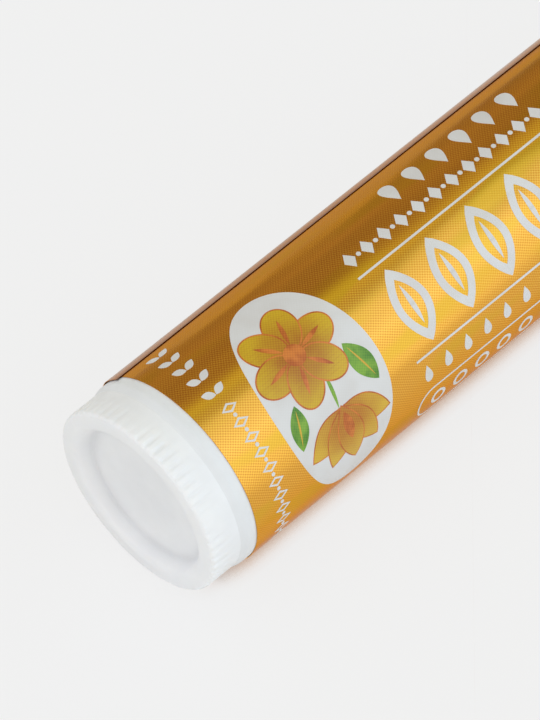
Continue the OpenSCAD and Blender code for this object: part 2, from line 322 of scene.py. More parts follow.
grip_rings = [
    (shoulder + low + up, neck_r + out, rounding)
    for low in (1.85, 4.85)
    for up, out, rounding in ((0, 0, 0), (0.23, ring_out, 0.1), (0.47, ring_out, 0.1), (0.70, 0, 0))
]
barrel_outline = rounded_line([
    (barrel_low, barrel_lead_r, 0.002),
    (barrel_low + barrel_lead, barrel_r, 0.9),
    (shoulder, barrel_r, 0.12),
    (shoulder, neck_r, 0.12),
    *grip_rings,
    (neck_top, neck_r, 0.25),
    (neck_top, bore_r, 0.25),
    (ledge, bore_r, 0.05),
    (ledge, socket_r, 0.05),
    (4.73, socket_r, 0),
    (4.43, socket_r + snap_out, 0),
    (4.07, socket_r + snap_out, 0),
    (3.67, socket_r, 0),
    (barrel_low, socket_r, 0.06),
])


def guide_rib(turn):
    """One guide rib down the bore: its inner edges are rounded and its top end slopes."""
    half = [(-0.5, -0.25), (-0.5, 0.75), (-0.38, 0.94), (-0.22, 1)]
    section = half + [(-across, inwards) for across, inwards in reversed(half)]
    ends = [(ledge, 1), (rib_top, 1), (rib_top + 0.45, 0)]
    points, faces = [], []
    for height, share in ends:
        for across, inwards in section:
            radius = bore_r - rib_depth * (inwards * share if inwards > 0 else inwards)
            side = across * rib_width
            points.append((
                rim_x + height / 1000,
                (radius * math.sin(turn) + side * math.cos(turn)) / 1000,
                axis_z + (radius * math.cos(turn) - side * math.sin(turn)) / 1000,
            ))
    size = len(section)
    last = (len(ends) - 1) * size
    for ring in range(0, last, size):
        for step in range(size):
            ahead = (step + 1) % size
            faces.append([ring + step, ring + ahead, ring + size + ahead, ring + size + step])
    faces.append(list(range(size)))
    faces.append(list(range(last, last + size)))
    return points, faces


def new_finish(name):
    """A new material, its tree and the node of its surface."""
    finish = bpy.data.materials.new(name)
    finish.use_nodes = True
    return finish, finish.node_tree, finish.node_tree.nodes["Principled BSDF"]


# Moulded white polypropylene: milky and satin to the eye, as a little light goes in. The spark-eroded
# mould leaves an even grain, drawn coarser than real, 0.12 mm apart, to show; the melt leaves faint clouds.
def moulded_white(name, colour, roughness, grain_height):
    """The milky white plastic of the barrel, wheel and cap, each with its own shade and grain."""
    finish, tree, skin = new_finish(name)
    place = add_node(tree, "ShaderNodeTexCoord").outputs["Object"]
    clouds = add_node(
        tree, "ShaderNodeTexNoise", {"Vector": place, "Scale": 420, "Detail": 3, "Roughness": 0.55}
    )
    shade = add_node(tree, "ShaderNodeMapRange", [clouds, 0.3, 0.7])
    cloudy = (*[0.96 * part for part in paint(colour)[:3]], 1)
    tint = add_node(tree, "ShaderNodeMix", {0: shade, 6: cloudy, 7: paint(colour)}, data_type="RGBA")
    grain = add_node(
        tree, "ShaderNodeTexNoise", {"Vector": place, "Scale": 8000, "Detail": 2, "Roughness": 0.6}
    )
    sheen = add_node(tree, "ShaderNodeMapRange", [grain, 0, 1, roughness - 0.05, roughness + 0.07])
    bump = add_node(tree, "ShaderNodeBump", {"Height": grain, "Distance": grain_height, "Strength": 0.6})
    # Painted shade: the colour is darkened where a corner closes in, as in the recess's crease and the
    # grooves
    open_side = add_node(tree, "ShaderNodeAmbientOcclusion", {"Distance": 0.001}, samples=8, only_local=True)
    painted_crease_shade = add_node(tree, "ShaderNodeMapRange", [open_side.outputs["AO"], 0.5, 0.95, 0.78, 1])
    tint = add_node(tree, "ShaderNodeVectorMath", {0: tint.outputs[2], "Scale": painted_crease_shade}, operation="SCALE")
    # Less light goes in right at the parting line and at the label's edge, where the gap and the film
    # would swallow it and draw both too dark
    along = add_node(tree, "ShaderNodeSeparateXYZ", [place]).outputs["X"]
    off_edges = []
    for edge in (barrel_low, label_low):
        past_edge = add_node(tree, "ShaderNodeMath", [along, rim_x + edge / 1000], operation="SUBTRACT")
        off_edges.append(add_node(tree, "ShaderNodeMath", [past_edge], operation="ABSOLUTE"))
    nearest = add_node(tree, "ShaderNodeMath", off_edges, operation="MINIMUM")
    milk = add_node(tree, "ShaderNodeMapRange", [nearest, 0.0001, 0.0011, 0, 0.6])
    feed(tree, skin, {
        "Base Color": tint, "Roughness": sheen, "Normal": bump, "IOR": 1.49, "Subsurface Weight": milk,
        "Subsurface Radius": (1.0, 0.95, 0.9), "Subsurface Scale": 0.0009,
    })
    return finish


barrel_white = moulded_white("moulded_white_polypropylene", "ECEEF0", 0.36, 0.000006)
barrel_shells = [round_the_axis(held(barrel_outline), 240)]
barrel_shells += [guide_rib(math.pi / 2 * quarter) for quarter in range(4)]
barrel = make_piece("barrel_tube", *join_shells(*barrel_shells))
put_on(barrel, "barrel", barrel_white, "white_plastic", "barrel")


# Turning wheel: white polypropylene, moulded in one with its snap collar and the two-start left-hand
# screw. Sixty shallow grip grooves run up its side from the edge of the rim, which surrounds a recess.
wheel_r = 7.75
wheel_top = 2.755
wheel_crown = 0.04
groove_count = 60
groove_width = 0.32
groove_depth = 0.09
groove_top = 2.37
groove_full = 0.3
side_from = 7.56
side_to = 7.66
recess_depth = 1.15
collar_r = 6.64
collar_top = 5.62
collar_bore = 5.7
collar_floor = 2.35
screw_low = 2.0
screw_top = 53.0
crest_r = 2.3
core_r = 1.45
lead = 5.0
foot_r = 3.0


def new_rule(name, inputs):
    """An empty Geometry Nodes tree with named inputs, what those give, and the tree's output node."""
    tree = bpy.data.node_groups.new(name, "GeometryNodeTree")
    tree.interface.new_socket("Geometry", in_out="INPUT", socket_type="NodeSocketGeometry")
    for label, kind in inputs.items():
        tree.interface.new_socket(label, in_out="INPUT", socket_type=kind)
    tree.interface.new_socket("Geometry", in_out="OUTPUT", socket_type="NodeSocketGeometry")
    return tree, add_node(tree, "NodeGroupInput").outputs, add_node(tree, "NodeGroupOutput")


def follow_rule(piece, tree, values):
    """Runs a Geometry Nodes tree on a piece with these values, and keeps the result as its plain mesh."""
    modifier = piece.modifiers.new(tree.name, "NODES")
    modifier.node_group = tree
    for item in tree.interface.items_tree:
        if item.item_type == "SOCKET" and item.in_out == "INPUT" and item.name in values:
            modifier[item.identifier] = values[item.name]
    bpy.context.view_layer.update()
    result = bpy.data.meshes.new_from_object(piece.evaluated_get(bpy.context.evaluated_depsgraph_get()))
    piece.modifiers.remove(modifier)
    piece.data = result
    return piece


def polar(tree):
    """A point's height from the rim, its radius, its angle round the axis and its X, in metres."""
    place = add_node(tree, "GeometryNodeInputPosition")
    along, side, over = add_node(tree, "ShaderNodeSeparateXYZ", [place]).outputs
    height = add_node(tree, "ShaderNodeMath", [along, rim_x], operation="SUBTRACT")
    over = add_node(tree, "ShaderNodeMath", [over, axis_z], operation="SUBTRACT")
    side_squared = add_node(tree, "ShaderNodeMath", [side, side], operation="MULTIPLY")
    over_squared = add_node(tree, "ShaderNodeMath", [over, over], operation="MULTIPLY")
    squared = add_node(tree, "ShaderNodeMath", [side_squared, over_squared], operation="ADD")
    radius = add_node(tree, "ShaderNodeMath", [squared], operation="SQRT")
    turn = add_node(tree, "ShaderNodeMath", [side, over], operation="ARCTAN2")
    return height, radius, turn, along


def set_radius(tree, geometry, along, radius, turn):
    """Moves every point to a new radius at its own height and angle."""
    sine = add_node(tree, "ShaderNodeMath", [turn], operation="SINE")
    cosine = add_node(tree, "ShaderNodeMath", [turn], operation="COSINE")
    side = add_node(tree, "ShaderNodeMath", [radius, sine], operation="MULTIPLY")
    over = add_node(tree, "ShaderNodeMath", [radius, cosine], operation="MULTIPLY")
    over = add_node(tree, "ShaderNodeMath", [over, axis_z], operation="ADD")
    place = add_node(tree, "ShaderNodeCombineXYZ", [along, side, over])
    return add_node(tree, "GeometryNodeSetPosition", {"Geometry": geometry, "Position": place})


def end_rule(tree, geometry, finish, output):
    """Ends a tree as the export needs it: real geometry with its material set."""
    real = add_node(tree, "GeometryNodeRealizeInstances", [geometry])
    coated = add_node(tree, "GeometryNodeSetMaterial", {"Geometry": real, "Material": finish})
    feed(tree, output, [coated])


# The grooves are deepest at the rim's edge and fade out towards the barrel, unevenly where thumbs have
# worn them. Only the wheel's side is cut.
grooving, asked, grooving_out = new_rule("grip_grooves", {
    "Groove Count": "NodeSocketInt", "Groove Width": "NodeSocketFloat", "Groove Depth": "NodeSocketFloat",
    "Groove Top": "NodeSocketFloat", "Material": "NodeSocketMaterial",
})
height, radius, turn, along = polar(grooving)
pitch = add_node(grooving, "ShaderNodeMath", [2 * math.pi, asked["Groove Count"]], operation="DIVIDE")
half_pitch = add_node(grooving, "ShaderNodeMath", [pitch, 2], operation="DIVIDE")
off_middle = add_node(grooving, "ShaderNodeMath", [turn, half_pitch], operation="PINGPONG")
half_width = add_node(
    grooving, "ShaderNodeMath", [asked["Groove Width"], 2 * wheel_r / 1000], operation="DIVIDE"
)
edge_of_groove = add_node(grooving, "ShaderNodeMath", [half_width, 1.5], operation="MULTIPLY")
bed_of_groove = add_node(grooving, "ShaderNodeMath", [half_width, 0.45], operation="MULTIPLY")
in_groove = add_node(
    grooving, "ShaderNodeMapRange", [off_middle, edge_of_groove, bed_of_groove],
    interpolation_type="SMOOTHSTEP",
)
below_top = add_node(
    grooving, "ShaderNodeMapRange", [height, asked["Groove Top"], groove_full / 1000],
    interpolation_type="SMOOTHSTEP",
)
wear = add_node(grooving, "ShaderNodeTexNoise", {"Scale": 260, "Detail": 1})
unworn = add_node(grooving, "ShaderNodeMapRange", [wear, 0.22, 0.50], interpolation_type="SMOOTHSTEP")
below_top = add_node(grooving, "ShaderNodeMath", [below_top, unworn], operation="MULTIPLY")
on_side = add_node(
    grooving, "ShaderNodeMapRange", [radius, side_from / 1000, side_to / 1000],
    interpolation_type="SMOOTHSTEP",
)
shape = add_node(grooving, "ShaderNodeMath", [in_groove, below_top], operation="MULTIPLY")
reach = add_node(grooving, "ShaderNodeMath", [on_side, asked["Groove Depth"]], operation="MULTIPLY")
cut = add_node(grooving, "ShaderNodeMath", [shape, reach], operation="MULTIPLY")
cut_radius = add_node(grooving, "ShaderNodeMath", [radius, cut], operation="SUBTRACT")
ridged = set_radius(grooving, asked["Geometry"], along, cut_radius, turn)
end_rule(grooving, ridged, asked["Material"], grooving_out)

# The screw starts as a plain rod. Each start's crest winds up it, with flanks from 30 to 60 degrees of
# turn off its middle, and the rod's top end runs down to a blunt tip.
threading, asked, threading_out = new_rule("two_start_screw", {
    "Starts": "NodeSocketInt", "Lead": "NodeSocketFloat", "Crest Radius": "NodeSocketFloat",
    "Core Radius": "NodeSocketFloat", "Tip Height": "NodeSocketFloat", "Material": "NodeSocketMaterial",
})
height, radius, turn, along = polar(threading)
wind = add_node(threading, "ShaderNodeMath", [height, 2 * math.pi], operation="MULTIPLY")
wind = add_node(threading, "ShaderNodeMath", [wind, asked["Lead"]], operation="DIVIDE")
wound = add_node(threading, "ShaderNodeMath", [turn, wind], operation="SUBTRACT")
half_start = add_node(threading, "ShaderNodeMath", [math.pi, asked["Starts"]], operation="DIVIDE")
off_crest = add_node(threading, "ShaderNodeMath", [wound, half_start], operation="PINGPONG")
on_crest = add_node(
    threading, "ShaderNodeMapRange", [off_crest, math.radians(60), math.radians(30)],
    interpolation_type="SMOOTHSTEP",
)
depth = add_node(
    threading, "ShaderNodeMath", [asked["Crest Radius"], asked["Core Radius"]], operation="SUBTRACT"
)
rise = add_node(threading, "ShaderNodeMath", [on_crest, depth], operation="MULTIPLY")
thread_radius = add_node(threading, "ShaderNodeMath", [asked["Core Radius"], rise], operation="ADD")
tip_radius = add_node(threading, "ShaderNodeMath", [asked["Core Radius"], 0.8], operation="MULTIPLY")
to_tip = add_node(threading, "ShaderNodeMath", [asked["Tip Height"], height], operation="SUBTRACT")
tip_limit = add_node(threading, "ShaderNodeMath", [tip_radius, to_tip], operation="ADD")
thread_radius = add_node(threading, "ShaderNodeMath", [thread_radius, tip_limit], operation="MINIMUM")
# The points in the middle of the rod's two ends stay on the axis
off_axis = add_node(threading, "ShaderNodeMath", [radius, 0.0005], operation="GREATER_THAN")
thread_radius = add_node(threading, "ShaderNodeMath", [thread_radius, off_axis], operation="MULTIPLY")
threaded = set_radius(threading, asked["Geometry"], along, thread_radius, turn)
end_rule(threading, threaded, asked["Material"], threading_out)

wheel_white = moulded_white("moulded_white_polypropylene_wheel", "F6F7F9", 0.42, 0.000008)
wheel_outline = rounded_line([
    (0, 6.18, 0.62),
    (0, 6.85, 0),
    (wheel_crown, wheel_r, 0.3),
    (wheel_top, wheel_r, 0.002),
    (wheel_top, collar_r, 0.04),
    (3.72, collar_r, 0),
    (4.05, collar_r + snap_out, 0),
    (4.38, collar_r + snap_out, 0),
    (4.72, collar_r, 0),
    (collar_top, collar_r, 0.1),
    (collar_top, collar_bore, 0.1),
    (collar_floor, collar_bore, 0.1),
    (collar_floor, 0, 0),
    (recess_depth, 0, 0),
    (recess_depth, 5.68, 0.25),
], steps=5)
wheel = make_piece("wheel", *round_the_axis(held(wheel_outline, longest=0.5), 720))
follow_rule(wheel, grooving, {
    "Groove Count": groove_count, "Groove Width": groove_width / 1000, "Groove Depth": groove_depth / 1000,
    "Groove Top": groove_top / 1000, "Material": wheel_white,
})
screw_rings = 240
screw_outline = [(screw_low, 0)]
for ring in range(screw_rings + 1):
    screw_outline.append((screw_low + (screw_top - screw_low) * ring / screw_rings, crest_r))
screw_outline.append((screw_top, 0))
screw = make_piece("screw", *round_the_axis(screw_outline, 48), sharp=60)
follow_rule(screw, threading, {
    "Starts": 2, "Lead": lead / 1000, "Crest Radius": crest_r / 1000, "Core Radius": core_r / 1000,
    "Tip Height": screw_top / 1000, "Material": wheel_white,
})
foot_outline = rounded_line([(1.7, 0, 0), (1.7, foot_r, 0), (3.85, foot_r, 0.3), (3.85, 0, 0)])
foot = make_piece("foot", *round_the_axis(foot_outline, 96))
foot.data.materials.append(wheel_white)


def join_pieces(name, pieces, sharp):
    """Several objects as one piece, its edges sharp past an angle."""
    with bpy.context.temp_override(active_object=pieces[0], selected_editable_objects=pieces):
        bpy.ops.object.join()
    pieces[0].name = name
    pieces[0].data.shade_smooth()
    pieces[0].data.set_sharp_from_angle(angle=math.radians(sharp))
    return pieces[0]


wheel = join_pieces("turning_wheel_moulding", [wheel, screw, foot], 50)
put_on(wheel, "wheel", None, "wheel_plastic", "turning_wheel")


# Label: a strip of gold metallised plastic film, wrapped once round the barrel and glued where its
# outer end laps over the inner one. The lapped end sits a little skew, its lower corner 0.45 mm down.
stick_r = 8.0
label_high = 48.6
film_t = 0.045
skew = 0.45
lap_lift = 0.05
end_curl = 0.012
glue_wave = 0.012
tuck = 0.004
# In degrees round the stick, from the top towards +Y; the last three are how far each effect reaches
seam = 45.5
lap = 17.2
label_back = 225
skew_reach = 60
slope_reach = 5
curl_reach = 2.5


def make_label():
    """The wrap as one thin closed strip: it starts at the seam, goes once round and ends under the lap."""
    around = 420
    length = label_high - label_low
    near_edge = [0, 0.03, 0.25, 0.6, 1.2]
    ups = near_edge + [1.2 + (length - 2.4) * step / 36 for step in range(1, 36)]
    ups += [length - up for up in reversed(near_edge)]
    points, faces, marks = [], [], []
    for step in range(around + 1):
        gone = (360 + lap) * step / around
        angle = seam + gone
        turn = math.radians(angle)
        # The outer end rides on the inner one, comes down past it, and the inner end lies beneath
        lift = lap_lift * (1 - min(max((gone - lap) / slope_reach, 0), 1))
        lift += end_curl * max(0, 1 - gone / curl_reach)
        drop = skew * max(0, 1 - gone / skew_reach) ** 1.5
        by = math.radians(angle if angle < label_back else angle - 360) * stick_r
        for side in (0, 1):
            radius = stick_r + lift - film_t * side
            if gone > 360:
                radius = stick_r - tuck - film_t * side
            for up in ups:
                height = label_low + up - drop * (1 - up / length) ** 8
                # The lower edge waves a little in its glue, but not where the ends lap
                wave = glue_wave * math.sin(angle * 0.21 + 1) * math.exp(-up / 1.5)
                if gone < 12 or gone > 350:
                    wave = 0
                out = radius + (wave if side == 0 or wave > 0 else 0)
                points.append((
                    rim_x + height / 1000, out / 1000 * math.sin(turn), axis_z + out / 1000 * math.cos(turn)
                ))
                marks.append((height, by))
    size = len(ups)
    ring = 2 * size
    for step in range(around):
        here, there = step * ring, (step + 1) * ring
        for index in range(size - 1):
            outer, outer_ahead = here + index, there + index
            inner, inner_ahead = outer + size, outer_ahead + size
            faces.append([outer, outer + 1, outer_ahead + 1, outer_ahead])
            faces.append([inner, inner_ahead, inner_ahead + 1, inner + 1])
        faces.append([here, there, there + size, here + size])
        faces.append([here + size - 1, here + ring - 1, there + ring - 1, there + size - 1])
    for end in (0, around * ring):
        for index in range(end, end + size - 1):
            faces.append([index, index + 1, index + size + 1, index + size])
    return points, faces, marks


def mark_surface(piece, marks):
    """Stores where each point lies on the flat film: millimetres up from the rim and round from the top."""
    layer = piece.data.uv_layers.new(name="film")
    for loop in piece.data.loops:
        layer.data[loop.index].uv = marks[loop.vertex_index]


label_points, label_faces, label_marks = make_label()
label = make_piece("wrap_film", label_points, label_faces, sharp=50)
mark_surface(label, label_marks)

# Metallised polypropylene film with a transparent gold-brown print: a metal to the eye, satin, and printed
# in fine crossed lines 0.19 mm apart. It follows small waves in its glue.
line_pitch = 0.19
line_tilts = (-36, 50)


def crossed_lines(tree, place, first):
    """Two sets of lines across the film, from 0 to 1; first is the share of the first set."""
    up, by, _ = add_node(tree, "ShaderNodeSeparateXYZ", [place]).outputs
    sets = []
    for tilt in line_tilts:
        up_rate = -math.sin(math.radians(tilt)) * 2 * math.pi / line_pitch
        by_rate = math.cos(math.radians(tilt)) * 2 * math.pi / line_pitch
        up_part = add_node(tree, "ShaderNodeMath", [up, up_rate], operation="MULTIPLY")
        by_part = add_node(tree, "ShaderNodeMath", [by, by_rate], operation="MULTIPLY")
        across = add_node(tree, "ShaderNodeMath", [up_part, by_part], operation="ADD")
        swing = add_node(tree, "ShaderNodeMath", [across], operation="SINE")
        sets.append(add_node(tree, "ShaderNodeMath", [swing, 0.5, 0.5], operation="MULTIPLY_ADD"))
    second = add_node(tree, "ShaderNodeMath", [sets[1], 1 - first], operation="MULTIPLY")
    return add_node(tree, "ShaderNodeMath", [sets[0], first, second], operation="MULTIPLY_ADD")


film, film_tree, film_skin = new_finish("gold_metallised_film")
film_place = add_node(film_tree, "ShaderNodeUVMap", uv_map="film")
film_by = add_node(film_tree, "ShaderNodeSeparateXYZ", [film_place]).outputs["Y"]
screen = crossed_lines(film_tree, film_place, 0.55)
long_waves = add_node(
    film_tree, "ShaderNodeMapping",
    {"Vector": film_place, "Rotation": (0, 0, math.radians(7)), "Scale": (0.05, 0.26, 1)},
)
waves = add_node(
    film_tree, "ShaderNodeTexNoise", {"Vector": long_waves, "Scale": 1, "Detail": 1, "Roughness": 0.4}
)
patches = add_node(
    film_tree, "ShaderNodeTexNoise", {"Vector": long_waves, "Scale": 1.6, "Detail": 1, "Roughness": 0.5}
)
# Over the crossed lines of two golds go olive patches, painted shade that makes the far side browner, the
# brown tone of the lapped strip beside the seam, and the cut end at the seam with its print edge and the
# glue behind it
from_seam = add_node(
    film_tree, "ShaderNodeMath", [film_by, math.radians(seam) * stick_r], operation="SUBTRACT"
)
ramps = {}
for name, value, low, high in (
    ("olive", patches, 0.50, 0.66), ("painted_far_shade", film_by, 1.5, 5.2),
    ("lap_from", from_seam, -0.01, 0.01), ("lap_to", from_seam, 2.9, 2.3),
    ("cut_from", from_seam, -0.04, 0.0), ("cut_to", from_seam, 0.46, 0.26),
):
    ramps[name] = add_node(
        film_tree, "ShaderNodeMapRange", [value, low, high], interpolation_type="SMOOTHSTEP"
    )
lapped = add_node(film_tree, "ShaderNodeMath", [ramps["lap_from"], ramps["lap_to"]], operation="MULTIPLY")
cut_end = add_node(film_tree, "ShaderNodeMath", [ramps["cut_from"], ramps["cut_to"]], operation="MULTIPLY")
gold = add_node(
    film_tree, "ShaderNodeMix", {0: screen, 6: paint("E0932E"), 7: paint("FFC656")}, data_type="RGBA"
)
for place_on_film, strength, colour in (
    (ramps["olive"], 0.5, "E2B62E"), (ramps["painted_far_shade"], 0.52, "A06430"), (lapped, 0.75, "A8682E"),
    (cut_end, 1, "70401E"),
):
    share = add_node(film_tree, "ShaderNodeMath", [place_on_film, strength], operation="MULTIPLY")
    gold = add_node(
        film_tree, "ShaderNodeMix", {0: share, 6: gold.outputs[2], 7: paint(colour)}, data_type="RGBA"
    )
film_sheen = add_node(film_tree, "ShaderNodeMapRange", [screen, 0, 1, 0.20, 0.27])
film_bump = add_node(film_tree, "ShaderNodeBump", {"Height": waves, "Distance": 0.0004, "Strength": 1.0})
film_bump = add_node(
    film_tree, "ShaderNodeBump",
    {"Height": screen, "Distance": 0.000004, "Strength": 0.5, "Normal": film_bump},
)
film_coat = add_node(film_tree, "ShaderNodeMath", [lapped, 0.33, 0.22], operation="MULTIPLY_ADD")
feed(film_tree, film_skin, {
    "Base Color": gold.outputs[2], "Metallic": 1, "Roughness": film_sheen, "Normal": film_bump,
    "Specular Tint": paint("F0C49A"), "Coat Weight": film_coat, "Coat Roughness": 0.15,
})
put_on(label, "barrel", film, "metallised_film", "wrap_label")


# Print on the label: white, amber and green screen inks laid on the film, 0.02 mm thick. A white window
# with a blossom and leaves, rows of plain ornaments between two rules, and a ring of marks near the base.
def placed(outline, up, by, tilt):
    """An outline on the flat film, turned by tilt degrees and moved to a height and a distance round."""
    c, s = math.cos(math.radians(tilt)), math.sin(math.radians(tilt))
    return [(up + across * c - along * s, by + across * s + along * c) for across, along in outline]


def oval(up, by, half_up, half_by, tilt=0, steps=48):
    """An oval outline; with four steps it is a diamond."""
    turns = [2 * math.pi * step / steps for step in range(steps)]
    return placed([(half_up * math.cos(turn), half_by * math.sin(turn)) for turn in turns], up, by, tilt)


def leaf(up, by, length, width, tilt=0, steps=14):
    """A pointed leaf outline; its length runs round the stick when tilt is 0."""
    outline = []
    for side in (1, -1):
        for step in range(steps):
            share = step / steps if side == 1 else 1 - step / steps
            across = side * width / 2 * math.sin(math.pi * share) ** 0.85
            outline.append((across, (share - 0.5) * length))
    return placed(outline, up, by, tilt)


def drop(up, by, length, width, tilt=0, steps=40):
    """A drop outline: round at one end, pointed at the other."""
    outline = []
    for step in range(steps):
        turn = 2 * math.pi * step / steps
        across = width / 2 * math.sin(turn) * math.sin(turn / 2) ** 1.3
        outline.append((across, length / 2 * math.cos(turn)))
    return placed(outline, up, by, tilt)


def bar(up_from, up_to, by_from, by_to, rounding=0.0, steps=6):
    """A straight bar or frame outline with rounded corners."""
    if rounding == 0:
        return [(up_from, by_from), (up_to, by_from), (up_to, by_to), (up_from, by_to)]
    points = []
    for up, by, first in (
        (up_to - rounding, by_to - rounding, 0), (up_from + rounding, by_to - rounding, 90),
        (up_from + rounding, by_from + rounding, 180), (up_to - rounding, by_from + rounding, 270),
    ):
        for step in range(steps + 1):
            turn = math.radians(first + 90 * step / steps)
            points.append((up + rounding * math.cos(turn), by + rounding * math.sin(turn)))
    return points


# Opaque screen inks: satin, the white slightly warm over the gold, the others printed over the white. The
# film's crossed lines show through faintly, and a shade changes in clouds or away from a flower's heart.
def screen_ink(name, dark, light, scale, roughness, screen=0.3, heart=None):
    """An ink between a dark and a light tone; screen is the share of the film's lines in it."""
    finish, tree, skin = new_finish(name)
    place = add_node(tree, "ShaderNodeUVMap", uv_map="film")
    lines = crossed_lines(tree, place, 0.5)
    clouds = add_node(tree, "ShaderNodeTexNoise", {"Vector": place, "Scale": scale, "Detail": 2})
    shade = add_node(tree, "ShaderNodeMapRange", [clouds, 0.36, 0.64], interpolation_type="SMOOTHSTEP")
    if heart is not None:
        away = add_node(tree, "ShaderNodeVectorMath", [place, (*heart, 0)], operation="DISTANCE")
        outwards = add_node(
            tree, "ShaderNodeMapRange", [away.outputs["Value"], 0.8, 3.8], interpolation_type="SMOOTHSTEP"
        )
        outwards = add_node(tree, "ShaderNodeMath", [outwards, 0.8], operation="MULTIPLY")
        shade = add_node(tree, "ShaderNodeMath", [shade, 0.2, outwards], operation="MULTIPLY_ADD")
    shade = add_node(tree, "ShaderNodeMath", [shade, 1 - screen], operation="MULTIPLY")
    share = add_node(tree, "ShaderNodeMath", [lines, screen, shade], operation="MULTIPLY_ADD")
    tint = add_node(tree, "ShaderNodeMix", {0: share, 6: paint(dark), 7: paint(light)}, data_type="RGBA")
    bump = add_node(tree, "ShaderNodeBump", {"Height": lines, "Distance": 0.000004, "Strength": 0.3})
    feed(tree, skin, {"Base Color": tint.outputs[2], "Roughness": roughness, "Normal": bump})
    return finish


white_ink = screen_ink("white_screen_ink", "D6D4D2", "DEDEDE", 0.3, 0.42)
amber_ink = screen_ink("amber_screen_ink", "A4560F", "D6B422", 0.5, 0.40, 0.3, (13.2, -2.6))
bud_ink = screen_ink("yellow_screen_ink", "B0641A", "DCB838", 0.6, 0.40, 0.3, (13.9, -8.6))
orange_ink = screen_ink("orange_screen_ink", "A84E14", "DC8434", 0.7, 0.40, 0.4)
green_ink = screen_ink("green_screen_ink", "3F7A1E", "86B23A", 0.7, 0.40, 0.35)

printing, asked, printing_out = new_rule("printed_row", {
    "Count": "NodeSocketInt", "Step": "NodeSocketVector", "Stick Radius": "NodeSocketFloat",
    "Material": "NodeSocketMaterial",
})
row_places = add_node(
    printing, "GeometryNodeMeshLine", {"Count": asked["Count"], "Offset": asked["Step"]}, mode="OFFSET"
)
row = add_node(
    printing, "GeometryNodeInstanceOnPoints", {"Points": row_places, "Instance": asked["Geometry"]}
)
row = add_node(printing, "GeometryNodeRealizeInstances", [row])
flat_place = add_node(printing, "GeometryNodeInputPosition")
flat_marks = add_node(
    printing, "ShaderNodeVectorMath", {0: flat_place, "Scale": 1000}, operation="SCALE"
)
row = add_node(
    printing, "GeometryNodeStoreNamedAttribute", {"Geometry": row, "Name": "film", "Value": flat_marks},
    data_type="FLOAT2", domain="CORNER",
)
flat_up, flat_by, flat_out = add_node(printing, "ShaderNodeSeparateXYZ", [flat_place]).outputs
bent_turn = add_node(printing, "ShaderNodeMath", [flat_by, asked["Stick Radius"]], operation="DIVIDE")
bent_radius = add_node(printing, "ShaderNodeMath", [flat_out, asked["Stick Radius"]], operation="ADD")
bent_along = add_node(printing, "ShaderNodeMath", [flat_up, rim_x], operation="ADD")
bent = set_radius(printing, row, bent_along, bent_radius, bent_turn)
end_rule(printing, bent, asked["Material"], printing_out)

# In millimetres: an ink's top above the film, how deep its edge goes in, and the width of the strips
# that it is cut into, so that it bends round the stick
ink_lift = 0.018
ink_sunk = 0.01
ink_strip = 0.33


def ink_row(name, finish, loops, count=1, step=(0, 0), lift=ink_lift):
    """A printed mark from closed outlines on the flat film, repeated along a row and bent round the stick."""
    flat = bmesh.new()
    for loop in loops:
        corners = [flat.verts.new((up / 1000, by / 1000, lift / 1000)) for up, by in loop]
        for index, corner in enumerate(corners):
            flat.edges.new((corner, corners[(index + 1) % len(corners)]))
    bmesh.ops.triangle_fill(flat, edges=flat.edges[:], use_beauty=True)
    rounds = [by for loop in loops for _, by in loop]
    for cut_at in np.arange(min(rounds) + ink_strip, max(rounds), ink_strip):
        everything = flat.verts[:] + flat.edges[:] + flat.faces[:]
        bmesh.ops.bisect_plane(flat, geom=everything, plane_co=(0, cut_at / 1000, 0), plane_no=(0, 1, 0))
    rims = [edge for edge in flat.edges if edge.is_boundary]
    skirt = bmesh.ops.extrude_edge_only(flat, edges=rims)
    for corner in skirt["geom"]:
        if isinstance(corner, bmesh.types.BMVert):
            corner.co.z = -ink_sunk / 1000
    bmesh.ops.recalc_face_normals(flat, faces=flat.faces[:])
    flat.normal_update()
    if sum(face.normal.z for face in flat.faces) < 0:
        bmesh.ops.reverse_faces(flat, faces=flat.faces[:])
    mesh = bpy.data.meshes.new(name)
    flat.to_mesh(mesh)
    flat.free()
    printed = bpy.data.objects.new(name, mesh)
    scene.collection.objects.link(printed)
    return follow_rule(printed, printing, {
        "Count": count, "Step": (step[0] / 1000, step[1] / 1000, 0), "Stick Radius": stick_r / 1000,
        "Material": finish,
    })


